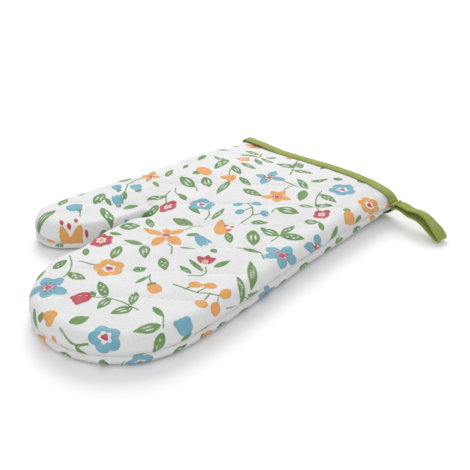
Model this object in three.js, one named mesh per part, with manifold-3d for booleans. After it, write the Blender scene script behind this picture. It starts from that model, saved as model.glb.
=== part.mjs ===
// A quilted cotton oven mitt, lying flat with its palm side up, in millimetres.
// X runs from the thumb side to the loop side, Y from the fingertips to the cuff, and Z up.
// Each panel is a printed cover, a wadding and a lining. The two panels are sewn round the rim,
// a green binding folds over the cuff's edge, and its tail makes the hanging loop.
// The cloth folds along two lines, so each layer is in a hand, a finger and a thumb section.
import * as THREE from "three";
import { mergeVertices } from "three/addons/utils/BufferGeometryUtils.js";
import Module from "manifold-3d";

const wasm = await Module();
wasm.setup();

// ---- Driving dimensions ----
const CUFF_HALF = 86; // half of the cuff's width
const HALF_THICKNESS = 13; // from the seam up to the palm's top, and down to the back
const RIM = 11; // how far in from the seam the puffed panels round over
const COVER = 1.0; // thickness of the printed cotton, with its fold at the rim
const LINING = 0.8;
const GAP = 0.3; // clearance between neighbouring layers
const CAVITY_HALF = 4; // half of the height of the space for the hand
const SEAM_ALLOWANCE = 6.7; // how far the turned-in edges reach inside the rim

const FINGERS = { x: 45, y: -238, r: 64 }; // round end of the finger lobe
const THUMB = { x: -67, y: -211, r: 25 }; // round end of the thumb
const THUMB_END_TURN = THREE.MathUtils.degToRad(35); // the slit's side leaves the round end this far round
const CROTCH = { x: -25, y: -166, r: 2.2 }; // round bottom of the slit between them

const BINDING_WIDTH = 10;
const TAPE = { width: 13, thickness: 1.2 };
const TACK = { length: 2.4, width: 11, height: 0.6 };

const FOLD_Y = CROTCH.y - 14; // the fingers fold up here, a knuckle beyond the slit's end
const THUMB_FOLD_TURN = THREE.MathUtils.degToRad(15); // the thumb's fold line is skewed by this
const OUTLINE_STEPS = 7; // segments on each curve of the outline
const EDGE_STEPS = 4; // segments over the rounded rim
const FAR = 600; // longer than the mitt, for cutting blocks

const LAYER_BOTTOM = CAVITY_HALF + LINING + GAP; // wadding's inner face, from the seam

// ---- Materials ----
const printedCotton = new THREE.MeshStandardMaterial({ color: 0xe9e9e8, roughness: 0.9, metalness: 0 });
const wadding = new THREE.MeshStandardMaterial({ color: 0xf3f1ea, roughness: 1, metalness: 0 });
const liningCotton = new THREE.MeshStandardMaterial({ color: 0xf0eee6, roughness: 0.92, metalness: 0 });
const seamEdge = new THREE.MeshStandardMaterial({ color: 0xe4e2da, roughness: 0.95, metalness: 0 });
const greenTape = new THREE.MeshStandardMaterial({ color: 0x86a345, roughness: 0.85, metalness: 0 });
const greenThread = new THREE.MeshStandardMaterial({ color: 0x7d9a3c, roughness: 0.7, metalness: 0 });

// ---- Solids ----
function toSolid(geometry) {
  const bare = geometry.clone();
  bare.deleteAttribute("normal");
  bare.deleteAttribute("uv");
  const merged = mergeVertices(bare, 1e-4);
  return new wasm.Manifold(
    new wasm.Mesh({
      numProp: 3,
      vertProperties: new Float32Array(merged.attributes.position.array),
      triVerts: new Uint32Array(merged.index.array),
    }),
  );
}

function toGeometry(solid) {
  const mesh = solid.getMesh();
  const geometry = new THREE.BufferGeometry();
  geometry.setAttribute("position", new THREE.BufferAttribute(new Float32Array(mesh.vertProperties), 3));
  geometry.setIndex(new THREE.BufferAttribute(new Uint32Array(mesh.triVerts), 1));
  geometry.computeVertexNormals();
  return geometry;
}

function block(low, high) {
  const size = new THREE.Vector3().subVectors(high, low);
  const box = new THREE.BoxGeometry(size.x, size.y, size.z);
  const centre = new THREE.Vector3().addVectors(low, high).multiplyScalar(0.5);
  return toSolid(box.translate(centre.x, centre.y, centre.z));
}

// The seam line in plan. It runs on past the cuff, so that a cut there leaves a full edge.
function mittOutline() {
  const past = 40;
  const fingerSide = FINGERS.x + FINGERS.r;
  const thumbSide = THUMB.x - THUMB.r;
  const outline = new THREE.Shape();
  outline.moveTo(CUFF_HALF, past);
  outline.lineTo(CUFF_HALF, 0);
  outline.bezierCurveTo(CUFF_HALF - 5, -80, fingerSide, -180, fingerSide, FINGERS.y);
  outline.absarc(FINGERS.x, FINGERS.y, FINGERS.r, 0, -Math.PI, true);
  outline.bezierCurveTo(
    FINGERS.x - FINGERS.r, FINGERS.y + 26,
    CROTCH.x + CROTCH.r - 6, CROTCH.y - 28,
    CROTCH.x + CROTCH.r, CROTCH.y,
  );
  outline.absarc(CROTCH.x, CROTCH.y, CROTCH.r, 0, Math.PI, false);
  const endX = THUMB.x + THUMB.r * Math.cos(THUMB_END_TURN);
  const endY = THUMB.y - THUMB.r * Math.sin(THUMB_END_TURN);
  outline.bezierCurveTo(
    CROTCH.x - CROTCH.r + 0.4, CROTCH.y - 38,
    endX + 10 * Math.sin(THUMB_END_TURN), endY + 10 * Math.cos(THUMB_END_TURN),
    endX, endY,
  );
  outline.absarc(THUMB.x, THUMB.y, THUMB.r, -THUMB_END_TURN, -Math.PI, true);
  outline.bezierCurveTo(thumbSide + 1, -155, -CUFF_HALF + 13, -75, -CUFF_HALF, 0);
  outline.lineTo(-CUFF_HALF, past);
  return outline;
}

// A pad about the seam's level: inset from the outline, half as high as given each way, rim rounded.
function pad(inset, half, rim) {
  const flat = 0.4;
  const geometry = new THREE.ExtrudeGeometry(mittOutline(), {
    depth: flat,
    bevelEnabled: true,
    bevelThickness: half - flat / 2,
    bevelSize: rim,
    bevelOffset: -rim - inset,
    bevelSegments: EDGE_STEPS,
    curveSegments: OUTLINE_STEPS,
  });
  return toSolid(geometry.translate(0, 0, -flat / 2));
}

function slab(low, high) {
  return block(new THREE.Vector3(-FAR, -FAR, low), new THREE.Vector3(FAR, FAR, high));
}

function stretch(lowY, highY) {
  return block(new THREE.Vector3(-FAR, lowY, -FAR), new THREE.Vector3(FAR, highY, FAR));
}

// Everything on the fingertip side of the fingers' fold line, or of the thumb's skewed one.
function fingerSideOf(shift) {
  return block(new THREE.Vector3(CROTCH.x, -FAR, -FAR), new THREE.Vector3(FAR, FOLD_Y + shift, FAR));
}

function thumbSideOf(shift) {
  const half = new THREE.BoxGeometry(2 * FAR, FAR, 2 * FAR);
  half.translate(0, shift - FAR / 2, 0);
  half.rotateZ(-THUMB_FOLD_TURN);
  half.translate(CROTCH.x, FOLD_Y, 0);
  const beside = block(new THREE.Vector3(-FAR, -FAR, -FAR), new THREE.Vector3(CROTCH.x, FAR, FAR));
  return toSolid(half).intersect(beside);
}

const sections = {
  hand: (layer) => layer.subtract(fingerSideOf(GAP / 2)).subtract(thumbSideOf(GAP / 2)),
  fingers: (layer) => layer.intersect(fingerSideOf(-GAP / 2)),
  thumb: (layer) => layer.intersect(thumbSideOf(-GAP / 2)),
};

// ---- Layers ----
const body = pad(0, HALF_THICKNESS, RIM);
const core = pad(COVER + GAP, HALF_THICKNESS - COVER - GAP, RIM - 1).intersect(stretch(-FAR, -COVER - GAP));
const cavity = pad(SEAM_ALLOWANCE, FAR, 0.5);

const shell = body.subtract(pad(COVER, HALF_THICKNESS - COVER, RIM - 1));
const cover = shell.intersect(stretch(-FAR, -BINDING_WIDTH - GAP));

const layers = {
  palm_cover: [cover.intersect(slab(GAP / 2, FAR)), printedCotton],
  palm_wadding: [core.intersect(slab(LAYER_BOTTOM, FAR)), wadding],
  palm_lining: [core.intersect(slab(CAVITY_HALF, CAVITY_HALF + LINING)), liningCotton],
  seam_allowance: [core.intersect(slab(GAP - CAVITY_HALF, CAVITY_HALF - GAP)).subtract(cavity), seamEdge],
  back_lining: [core.intersect(slab(-CAVITY_HALF - LINING, -CAVITY_HALF)), liningCotton],
  back_wadding: [core.intersect(slab(-FAR, -LAYER_BOTTOM)), wadding],
  back_cover: [cover.intersect(slab(-FAR, -GAP / 2)), printedCotton],
};

// The cuff and both fold lines open the seam allowance, which leaves three strips in the hand section.
function strip(lowX, highX) {
  return block(new THREE.Vector3(lowX, -FAR, -FAR), new THREE.Vector3(highX, FAR, FAR));
}

const handStrips = {
  thumb_side: strip(-FAR, 2 * CROTCH.x),
  crotch: strip(2 * CROTCH.x, 0),
  loop_side: strip(0, FAR),
};

function named(name, geometry, material) {
  const mesh = new THREE.Mesh(geometry, material);
  mesh.name = name;
  return mesh;
}

function sectionGroup(section) {
  const group = new THREE.Group();
  for (const [layer, [solid, material]] of Object.entries(layers)) {
    const piece = sections[section](solid);
    if (section === "hand" && layer === "seam_allowance") {
      for (const [side, region] of Object.entries(handStrips)) {
        group.add(named(`seam_allowance_${side}`, toGeometry(piece.intersect(region)), material));
      }
    } else {
      group.add(named(`${layer}_${section}`, toGeometry(piece), material));
    }
  }
  return group;
}

// ---- Cuff binding: a ring of tape, folded over the edge of both panels ----
function cuffBinding() {
  const innerFace = CAVITY_HALF - GAP;
  const mouth = pad(SEAM_ALLOWANCE + GAP + LINING, innerFace - LINING, 1);
  const insideLeg = pad(SEAM_ALLOWANCE + GAP, innerFace, 1).subtract(mouth);
  const outsideLeg = shell;
  const fold = body.subtract(mouth).intersect(stretch(-COVER, 0));
  const legs = outsideLeg.add(insideLeg).intersect(stretch(-BINDING_WIDTH, 0));
  return legs.add(fold);
}

// ---- Hanging loop: the binding's tail, folded back on itself and drooping to the table ----
const LOOP_ROOT_X = CUFF_HALF + 0.6;
const TABLE = -HALF_THICKNESS;
const tapeOnTable = TABLE + TAPE.thickness / 2 + GAP; // just clear of the table at its lowest dip

function hangingLoop() {
  const x = LOOP_ROOT_X;
  const y = -TAPE.width / 2;
  const route = new THREE.CatmullRomCurve3([
    new THREE.Vector3(x, y, 2.6),
    new THREE.Vector3(x + 8, y, 3.1),
    new THREE.Vector3(x + 16, y, 2.5),
    new THREE.Vector3(x + 23, y, 2.2),
    new THREE.Vector3(x + 30, y, 0.3),
    new THREE.Vector3(x + 37, y, -4.2),
    new THREE.Vector3(x + 42.4, y, -8.6),
    new THREE.Vector3(x + 44.4, y, tapeOnTable + 1.1),
    new THREE.Vector3(x + 42.9, y, tapeOnTable),
    new THREE.Vector3(x + 36, y, tapeOnTable + 1.5),
    new THREE.Vector3(x + 27, y, tapeOnTable + 5.7),
    new THREE.Vector3(x + 18, y, tapeOnTable + 9.6),
    new THREE.Vector3(x + 9, y, tapeOnTable + 11.3),
    new THREE.Vector3(x, y, tapeOnTable + 11.1),
  ]);
  const section = new THREE.Shape();
  section.moveTo(-TAPE.width / 2, -TAPE.thickness / 2);
  section.lineTo(TAPE.width / 2, -TAPE.thickness / 2);
  section.lineTo(TAPE.width / 2, TAPE.thickness / 2);
  section.lineTo(-TAPE.width / 2, TAPE.thickness / 2);
  return new THREE.ExtrudeGeometry(section, { extrudePath: route, steps: 44, bevelEnabled: false });
}

function barTack() {
  const onTape = 2.6 + TAPE.thickness / 2 + 0.4;
  const box = new THREE.BoxGeometry(TACK.length, TACK.width, TACK.height);
  return box.translate(LOOP_ROOT_X + TACK.length / 2 + 0.2, -TAPE.width / 2, onTape + TACK.height / 2);
}

// ---- Assembly ----
const mitt = new THREE.Group();
for (const section of Object.keys(sections)) {
  mitt.add(sectionGroup(section));
}
mitt.add(named("cuff_binding", toGeometry(cuffBinding()), greenTape));
mitt.add(named("hanging_loop", hangingLoop(), greenTape));
mitt.add(named("loop_bar_tack", barTack(), greenThread));

// The origin is the middle of the mitt's box, on the table.
const box = new THREE.Box3().setFromObject(mitt);
const middle = box.getCenter(new THREE.Vector3());
mitt.position.set(-middle.x, -middle.y, -box.min.z);

export default mitt;
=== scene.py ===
"""Quilted cotton oven mitt with bound cuff and hanging loop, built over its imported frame."""

import math

import bmesh
import bpy
import numpy as np
from bpy.props import FloatProperty, FloatVectorProperty, IntProperty, PointerProperty
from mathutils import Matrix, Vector, noise
from mathutils.bvhtree import BVHTree


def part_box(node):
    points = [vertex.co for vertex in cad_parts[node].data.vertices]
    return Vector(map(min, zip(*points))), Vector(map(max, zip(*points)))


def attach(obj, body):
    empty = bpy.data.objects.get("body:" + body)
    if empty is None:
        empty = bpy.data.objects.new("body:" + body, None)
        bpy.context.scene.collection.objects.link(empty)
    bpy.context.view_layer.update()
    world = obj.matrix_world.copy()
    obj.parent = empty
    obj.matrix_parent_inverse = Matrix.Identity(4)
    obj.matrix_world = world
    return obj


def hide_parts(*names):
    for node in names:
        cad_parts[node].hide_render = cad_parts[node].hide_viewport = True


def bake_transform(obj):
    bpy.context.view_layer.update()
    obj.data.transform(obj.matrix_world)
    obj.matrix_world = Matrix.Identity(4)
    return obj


bl_info = {
    "name": "Quilted oven mitt",
    "version": (1, 0, 0),
    "blender": (4, 5, 0),
    "location": "View3D > Sidebar > Mitt",
    "description": "Builds a quilted, printed oven mitt with a bound cuff and a hanging loop",
    "category": "Object",
}

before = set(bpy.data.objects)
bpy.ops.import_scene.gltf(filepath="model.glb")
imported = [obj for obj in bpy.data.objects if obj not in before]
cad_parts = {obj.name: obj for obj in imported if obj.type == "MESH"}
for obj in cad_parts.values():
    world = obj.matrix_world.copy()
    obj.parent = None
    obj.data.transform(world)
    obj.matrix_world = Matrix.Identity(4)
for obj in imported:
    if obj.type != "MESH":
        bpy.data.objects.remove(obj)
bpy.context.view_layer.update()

# places and sizes below are in millimetres, in the frame's own axes, and MM turns them to metres
MM = 0.001
SEAM_Z = 13.0
CUFF_Y = 151.0
SLIT_TOP = (-44.7, -13.0)
THUMB_DOWN = (-0.258819, -0.965926)
SIDE_X = (-105.7, 66.3)
MID_X = -19.7
HALF_CUFF = 86.0
MOUTH_HALF = 84.6
BINDING_INNER_Y = 141.0
EDGE_TUCK = 0.34


class MittSizes(bpy.types.PropertyGroup):
    pitch: FloatProperty(
        name="Pitch", description="Spacing of the panel's working grid", default=1.6 * MM, unit="LENGTH"
    )
    quilt_depth: FloatProperty(
        name="Quilting depth", description="How far the stitching pulls the cotton down", default=0.8 * MM,
        unit="LENGTH",
    )
    stitch: FloatProperty(
        name="Stitch", description="Length of one quilting stitch", default=2.6 * MM, unit="LENGTH"
    )
    stitch_step: FloatProperty(
        name="Stitch step", description="From one quilting stitch to the next", default=4.1 * MM,
        unit="LENGTH",
    )
    layers: FloatProperty(
        name="Layers", description="Thickness of cover, wadding and lining together", default=7.4 * MM,
        unit="LENGTH",
    )
    cuff_layers: FloatProperty(
        name="Layers in the binding", description="Thickness of the pressed edge", default=3.6 * MM,
        unit="LENGTH",
    )
    fullness: FloatProperty(
        name="Fullness", description="How much larger the cotton is cut than its frame", default=0.03,
        subtype="FACTOR",
    )
    frames: IntProperty(name="Settling frames", description="Frames of cloth simulation", default=14)
    binding_width: FloatProperty(
        name="Binding width", description="Visible width of the binding", default=10.0 * MM, unit="LENGTH"
    )
    tape: FloatProperty(
        name="Tape", description="Thickness of the binding tape", default=0.9 * MM, unit="LENGTH"
    )


class MittColours(bpy.types.PropertyGroup):
    cotton: FloatVectorProperty(
        name="Cotton", description="Ground of the print", subtype="COLOR", default=(0.685, 0.685, 0.685)
    )
    blue: FloatVectorProperty(
        name="Blue ink", description="Blue flowers", subtype="COLOR", default=(0.115, 0.335, 0.43)
    )
    orange: FloatVectorProperty(
        name="Orange ink", description="Orange flowers", subtype="COLOR", default=(0.66, 0.285, 0.042)
    )
    red: FloatVectorProperty(
        name="Red ink", description="Red flowers and centres", subtype="COLOR", default=(0.42, 0.018, 0.040)
    )
    green: FloatVectorProperty(
        name="Green ink", description="Leaves and stems", subtype="COLOR", default=(0.097, 0.228, 0.040)
    )
    binding: FloatVectorProperty(
        name="Binding", description="Cuff binding and loop", subtype="COLOR", default=(0.325, 0.382, 0.065)
    )
    lining: FloatVectorProperty(
        name="Lining", description="Plain cotton inside", subtype="COLOR", default=(0.62, 0.60, 0.56)
    )
    wadding: FloatVectorProperty(
        name="Wadding", description="Cotton wadding at cut edges", subtype="COLOR", default=(0.66, 0.63, 0.57)
    )
    floor: FloatVectorProperty(
        name="Floor", description="Plain pale floor", subtype="COLOR", default=(0.895, 0.897, 0.905)
    )


def smooth(value, low, high):
    t = np.clip((np.asarray(value, float) - low) / (high - low), 0.0, 1.0)
    return t * t * (3.0 - 2.0 * t)


# ---------------------------------------------------------------- shader expressions


class Wire:
    """A shader socket that adds Math nodes when it is used in an expression."""

    def __init__(self, kit, socket):
        self.kit = kit
        self.socket = socket

    def _math(self, operation, *values):
        return self.kit.node("ShaderNodeMath", {"operation": operation}, values)

    def __add__(self, other):
        return self._math("ADD", self, other)

    def __radd__(self, other):
        return self._math("ADD", other, self)

    def __sub__(self, other):
        return self._math("SUBTRACT", self, other)

    def __rsub__(self, other):
        return self._math("SUBTRACT", other, self)

    def __mul__(self, other):
        return self._math("MULTIPLY", self, other)

    def __rmul__(self, other):
        return self._math("MULTIPLY", other, self)

    def sine(self):
        return self._math("SINE", self)

    def step(self, low, high):
        return self.kit.node(
            "ShaderNodeMapRange",
            {"interpolation_type": "SMOOTHSTEP"},
            {"Value": self, "From Min": low, "From Max": high},
        )


class Kit:
    """A material and its node tree."""

    def __init__(self, name):
        self.material = bpy.data.materials.new(name)
        self.material.use_nodes = True
        self.tree = self.material.node_tree
        self.tree.nodes.clear()
        self.shader = None

    def node(self, kind, settings, values, out=0):
        node = self.tree.nodes.new(kind)
        for key, value in settings.items():
            setattr(node, key, value)
        pairs = values.items() if isinstance(values, dict) else enumerate(values)
        for key, value in pairs:
            if isinstance(value, Wire):
                self.tree.links.new(value.socket, node.inputs[key])
            else:
                node.inputs[key].default_value = value
        return Wire(self, node.outputs[out])

    def place(self):
        return self.node("ShaderNodeTexCoord", {}, {}, "Object")

    def attribute(self, name, out="Fac"):
        return self.node("ShaderNodeAttribute", {"attribute_name": name}, {}, out)

    def noise(self, vector, scale, detail=2.0, roughness=0.5):
        return self.node(
            "ShaderNodeTexNoise",
            {},
            {"Vector": vector, "Scale": scale, "Detail": detail, "Roughness": roughness},
        )

    def mix(self, factor, first, second):
        return self.node(
            "ShaderNodeMix",
            {"data_type": "RGBA"},
            {0: factor, 6: first, 7: second},
            2,
        )

    def split(self, vector):
        node = self.tree.nodes.new("ShaderNodeSeparateXYZ")
        self.tree.links.new(vector.socket, node.inputs[0])
        return [Wire(self, out) for out in node.outputs]

    def finish(self, colour, roughness, height=None, distance=0.0002, strength=0.6, sheen=0.0):
        self.shader = self.tree.nodes.new("ShaderNodeBsdfPrincipled")
        self.shader.inputs["Specular IOR Level"].default_value = 0.25
        self.shader.inputs["Sheen Weight"].default_value = sheen
        self.shader.inputs["Sheen Roughness"].default_value = 0.6
        self._feed("Base Color", colour)
        self._feed("Roughness", roughness)
        if height is not None:
            bump = self.tree.nodes.new("ShaderNodeBump")
            bump.inputs["Strength"].default_value = strength
            bump.inputs["Distance"].default_value = distance
            self.tree.links.new(height.socket, bump.inputs["Height"])
            self.tree.links.new(bump.outputs[0], self.shader.inputs["Normal"])
        output = self.tree.nodes.new("ShaderNodeOutputMaterial")
        self.tree.links.new(self.shader.outputs[0], output.inputs[0])
        return self.material

    def _feed(self, name, value):
        if isinstance(value, Wire):
            self.tree.links.new(value.socket, self.shader.inputs[name])
        else:
            self.shader.inputs[name].default_value = value


def rgba(colour):
    return (colour[0], colour[1], colour[2], 1.0)


def weave(kit, vector, pitch):
    """Plain weave: warp and weft ridges crossing over and under, from coordinates in metres."""
    parts = kit.split(vector)
    turn = math.pi / (pitch * MM)
    warp = (parts[0] * turn).sine()
    weft = (parts[1] * turn).sine()
    return warp * weft, warp * warp + weft * weft


def printed_cotton(colours):
    """White cotton whose four inks come from the mesh's own ink depths."""
    kit = Kit("printed_cotton")
    flat = kit.attribute("flat", "Vector")
    over, ridge = weave(kit, flat, 0.46)
    slub = kit.noise(flat, 420.0, 3.0)
    cloud = kit.noise(flat, 38.0, 2.0)
    bleed = (kit.noise(flat, 900.0, 2.0) - 0.5) * 0.5
    slubby = rgba([c * 0.88 for c in colours.cotton])
    ground = kit.mix(slub.step(0.3, 0.7) * 0.4, rgba(colours.cotton), slubby)
    # painted highlight: the cotton is made paler where the weave's crossings stand highest
    ground = kit.mix(over.step(-0.2, 1.0) * 0.10, ground, (0.9, 0.9, 0.9, 1.0))
    wash = kit.noise(flat, 160.0, 3.0, 0.6)
    result = ground
    for name in ("green", "blue", "orange", "red"):
        ink = getattr(colours, name)
        depth = kit.attribute("ink_" + name)
        mask = (depth + bleed).step(-0.22, 0.22)
        rim = (depth + bleed).step(1.6, 0.1)
        pale = [c + (1.0 - c) * 0.06 for c in ink]
        deep = [c * 0.8 for c in ink]
        tone = kit.mix(wash.step(0.32, 0.68), rgba(pale), rgba(ink))
        tone = kit.mix(rim * 0.35, tone, rgba(deep))
        # painted highlight: the inks are made paler where the weave's crossings stand highest
        tone = kit.mix(over.step(0.1, 1.0) * 0.06, tone, (0.75, 0.75, 0.74, 1.0))
        result = kit.mix(mask * (0.93 + cloud * 0.06), result, tone)
    height = ridge * 0.4 + over * 0.25 + slub * 0.5
    return kit.finish(result, 0.86 - slub * 0.08, height, 0.00014, 0.6, 0.06)


def plain_cloth(name, colour, pitch, slub_scale=300.0, twill=False, coords="Object"):
    """One-colour cotton, in plain weave or twill, with painted shade in the low parts of its weave."""
    kit = Kit(name)
    place = kit.place() if coords == "Object" else kit.attribute(coords, "Vector")
    slub = kit.noise(place, slub_scale, 3.0)
    cloud = kit.noise(place, 45.0, 2.0)
    if twill:
        parts = kit.split(place)
        turn = 2.0 * math.pi / (pitch * MM)
        ridge = ((parts[0] + parts[1]) * turn).sine()
        height = ridge * 0.5 + (parts[1] * turn * 2.0).sine() * 0.25 + slub * 0.6
        shade = ridge.step(-1.0, 1.0)
    else:
        over, ridge = weave(kit, place, pitch)
        height = ridge * 0.4 + over * 0.3 + slub * 0.5
        shade = over.step(-0.6, 1.0)
    # painted shade: the colour darkens in the low parts of the weave or twill, mixed with slub tone
    deep = rgba([c * 0.72 for c in colour])
    pale = rgba([c + (1.0 - c) * 0.07 for c in colour])
    tone = kit.mix(shade * 0.5 + slub * 0.3, deep, rgba(colour))
    tone = kit.mix(cloud.step(0.4, 0.75) * 0.5, tone, pale)
    return kit.finish(tone, 0.84 - slub * 0.08, height, 0.00018, 0.6, 0.1)


def thread(name, colour):
    """Twisted sewing thread, with painted shade in the grooves of its twist."""
    kit = Kit(name)
    place = kit.place()
    parts = kit.split(place)
    ply = ((parts[0] + parts[1] * 0.6) * 9000.0).sine()
    # painted shade: the thread darkens in the grooves of its twist
    tone = kit.mix(ply.step(-1.0, 1.0), rgba([c * 0.75 for c in colour]), rgba(colour))
    return kit.finish(tone, 0.55 + kit.noise(place, 500.0) * 0.1, ply, 0.0001, 0.5, 0.05)


def fluff(name, colour):
    """Loose cotton wadding."""
    kit = Kit(name)
    place = kit.place()
    tuft = kit.noise(place, 700.0, 4.0, 0.7)
    tone = kit.mix(tuft, rgba([c * 0.8 for c in colour]), rgba(colour))
    return kit.finish(tone, 0.9 + tuft * 0.05, tuft, 0.0006, 0.8, 0.1)


# ---------------------------------------------------------------- the pattern


def bezier(p0, p1, p2, p3, count=60):
    t = np.linspace(0.0, 1.0, count, endpoint=False)[:, None]
    p0, p1, p2, p3 = (np.array(p, float) for p in (p0, p1, p2, p3))
    return (1 - t) ** 3 * p0 + 3 * (1 - t) ** 2 * t * p1 + 3 * (1 - t) * t * t * p2 + t**3 * p3


def arc(centre, radius, start, turn, count=120):
    a = np.radians(start + np.linspace(0.0, turn, count, endpoint=False))
    return np.stack([centre[0] + radius * np.cos(a), centre[1] + radius * np.sin(a)], -1)


def outline():
    """Side seam in millimetres, from the cuff's loop side round the fingers and thumb to its far side."""
    runs = [
        bezier((86, 60), (86, 40), (86, 20), (86, 0)),
        bezier((86, 0), (81, -80), (109, -180), (109, -238), 160),
        arc((45, -238), 64, 0, -180, 260),
        bezier((-19, -238), (-19, -212), (-28.8, -194), (-22.8, -166), 80),
        arc((-25, -166), 2.2, 0, 180, 24),
        bezier((-27.2, -166), (-26.8, -204), (-40.78, -217.15), (-46.52, -225.34), 70),
        arc((-67, -211), 25, -35, -145, 90),
        bezier((-92, -211), (-91, -155), (-73, -75), (-86, 0), 200),
        bezier((-86, 0), (-86, 20), (-86, 40), (-86, 60)),
    ]
    path = np.concatenate(runs) + np.array([MID_X, CUFF_Y])
    step = np.linalg.norm(np.diff(path, axis=0), axis=1)
    along = np.concatenate([[0.0], np.cumsum(step)])
    even = np.arange(0.0, along[-1], 0.4)
    return np.stack([np.interp(even, along, path[:, 0]), np.interp(even, along, path[:, 1])], -1)


class Seam:
    """Nearest point, distance inside and inward direction for any point of the plan."""

    def __init__(self):
        self.path = outline()
        run = np.gradient(self.path, axis=0)
        run /= np.linalg.norm(run, axis=1)[:, None]
        self.inward = np.stack([run[:, 1], -run[:, 0]], -1)

    def query(self, points):
        near = np.zeros(len(points), int)
        for first in range(0, len(points), 2000):
            part = points[first : first + 2000]
            gap = ((part[:, None, :] - self.path[None, :, :]) ** 2).sum(-1)
            near[first : first + 2000] = gap.argmin(1)
        foot = self.path[near]
        away = points - foot
        inside = (away * self.inward[near]).sum(-1)
        depth = np.linalg.norm(away, axis=1) * np.sign(inside)
        direct = away * np.sign(inside)[:, None]
        length = np.linalg.norm(direct, axis=1)
        straight = direct / np.maximum(length, 1e-9)[:, None]
        inward = np.where(length[:, None] > 0.3, straight, self.inward[near])
        return foot, depth, inward


RIM = 11.0  # how far in from the seam a panel's top is fully up
GROOVE = 2.5  # how far the seam is pulled in at its stitches
INNER_SEAM = 7.5  # how far in the lining starts, past the seam allowance
INNER_RIM = 18.0  # how far in the lining is fully up
FULL_RISE = 12.0  # a panel's usual height over the seam


def rim_profile():
    """The panel's edge as it rolls down to the seam: arc length, distance in from the outline, rise."""
    a = np.linspace(0.0, math.pi / 2, 300)
    inset = RIM * (1.0 - np.cos(a) ** (2 / 2.5))
    rise = np.sin(a) ** (2 / 2.3)
    inset = inset + GROOVE * np.exp(-((rise * FULL_RISE / 1.8) ** 2))
    run = np.hypot(np.diff(inset), np.diff(rise * FULL_RISE))
    length = np.concatenate([[0.0], np.cumsum(run)])
    return length, inset, rise


PROFILE = rim_profile()
ROLL = PROFILE[0][-1]

QUILT_DOWN = (-79.4, -35.4, 7.3, 49.0, 91.0, 133.0)
QUILT_UP = (-130.5, -97.5, -64.5, -32.5, 0.5, 33.5, 67.0)
DOWNHILL = np.array([1.0, 1.0]) / math.sqrt(2.0)
UPHILL = np.array([-1.0, 1.0]) / math.sqrt(2.0)

# soft hollows in the palm, as x, y and depth
HOLLOWS = (
    (-66.7, -24.0, 1.9),
    (-22.7, -17.0, 1.5),
    (-54.7, 33.0, 2.0),
    (9.3, 7.0, 1.2),
    (50.3, 20.0, 1.0),
    (22.3, 100.0, 1.1),
    (22.3, -70.0, 1.1),
    (50.3, -39.0, 1.1),
)
# how high the palm's top stands over the seam along the cuff, as x and height
CUFF_RISE = ((-105.7, 0.0), (-85, 0.7), (-62, 2.2), (-42, 4.4), (-25, 6.4), (0, 9.3), (22, 10.6), (42, 10.7),
             (56, 9.0), (62, 6.6), (66.3, 0.0))


def quilt_gap(points):
    """Distance to the nearest quilting line."""
    best = np.full(len(points), 1e9)
    for offset in QUILT_DOWN:
        best = np.minimum(best, np.abs(points @ DOWNHILL - offset))
    for offset in QUILT_UP:
        best = np.minimum(best, np.abs(points @ UPHILL - offset))
    return best


def cuff_rise(x):
    """Height of the palm's top over the seam at the cuff, with its corners eased."""
    table = np.array(CUFF_RISE)
    wide = np.linspace(-3.0, 3.0, 7)
    return sum(np.interp(x + w, table[:, 0], table[:, 1]) for w in wide) / 7.0


def rim_tightness(foot):
    """The panels roll over in a tighter curve where thumb and fingers face each other."""
    x, y = foot[:, 0], foot[:, 1]
    return 1.0 - 0.62 * smooth(x, -66, -58) * smooth(-x, 36, 40) * smooth(y, -84, -62) * smooth(-y, 9, 13)


def seam_height(points):
    """The side seam lies lower towards the fingertips and the thumb's tip."""
    x, y = points[:, 0], points[:, 1]
    thumb = smooth(x, -46, -60) * smooth(y, -5, -60)
    level = SEAM_Z - 1.4 * smooth(y, 118, 60) - 3.0 * smooth(y, 60, -130)
    return level - 2.9 * thumb


def crotch_crease(points):
    """A fold in the cotton that runs on from the slit's end."""
    x = points[:, 0] - SLIT_TOP[0]
    y = points[:, 1] - SLIT_TOP[1]
    along = -0.74 * x + 0.67 * y
    across = 0.67 * x + 0.74 * y + 0.012 * along * along
    return np.exp(-((across / 2.6) ** 2)) * smooth(along, -2, 3) * (1.0 - smooth(along, 9, 32))


def palm_rise(points, depth):
    """Height of the palm's top above the side seam, before quilting."""
    x, y = points[:, 0], points[:, 1]
    body = 10.0 + 1.5 * smooth(depth, 8, 45)
    thumb = smooth(x, -48, -56) * smooth(y, -15, -40)
    body = body * (1.0 - 0.10 * thumb)
    for hx, hy, deep in HOLLOWS:
        body = body - 1.3 * deep * np.exp(-((x - hx) ** 2 + (y - hy) ** 2) / (2 * 9.0**2))
    slit = np.hypot(x - SLIT_TOP[0], (y - SLIT_TOP[1] - 2.0) * 0.8)
    body = body - 2.6 * np.exp(-((slit / 11.0) ** 2)) - 2.3 * crotch_crease(points)
    edge = smooth(y, 78, 149)
    return body * (1.0 - edge) + cuff_rise(x) * edge


def back_drop(points):
    """How far the back's underside lies below the side seam."""
    x, y = points[:, 0], points[:, 1]
    across = np.abs((x - MID_X) / HALF_CUFF)
    edge = smooth(y, 95, 149)
    return 12.75 * (1.0 - edge) + 12.7 * np.sqrt(np.clip(1.0 - across**5, 0.0, 1.0)) * edge


def ripple(points, scale, seed):
    """Smooth unevenness of the cloth over the plan."""
    return np.array([noise.noise(Vector((p[0] * scale, p[1] * scale, seed))) for p in points])


# ---------------------------------------------------------------- the print


def spread(points, centre, angle):
    """Points as distances along and across an axis through the centre."""
    a = math.radians(angle)
    x = points[:, 0] - centre[0]
    y = points[:, 1] - centre[1]
    return x * math.cos(a) + y * math.sin(a), -x * math.sin(a) + y * math.cos(a)


def off(centre, reach, angle):
    """The point that lies reach from the centre at an angle in degrees."""
    a = math.radians(angle)
    return centre[0] + reach * math.cos(a), centre[1] + reach * math.sin(a)


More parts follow.
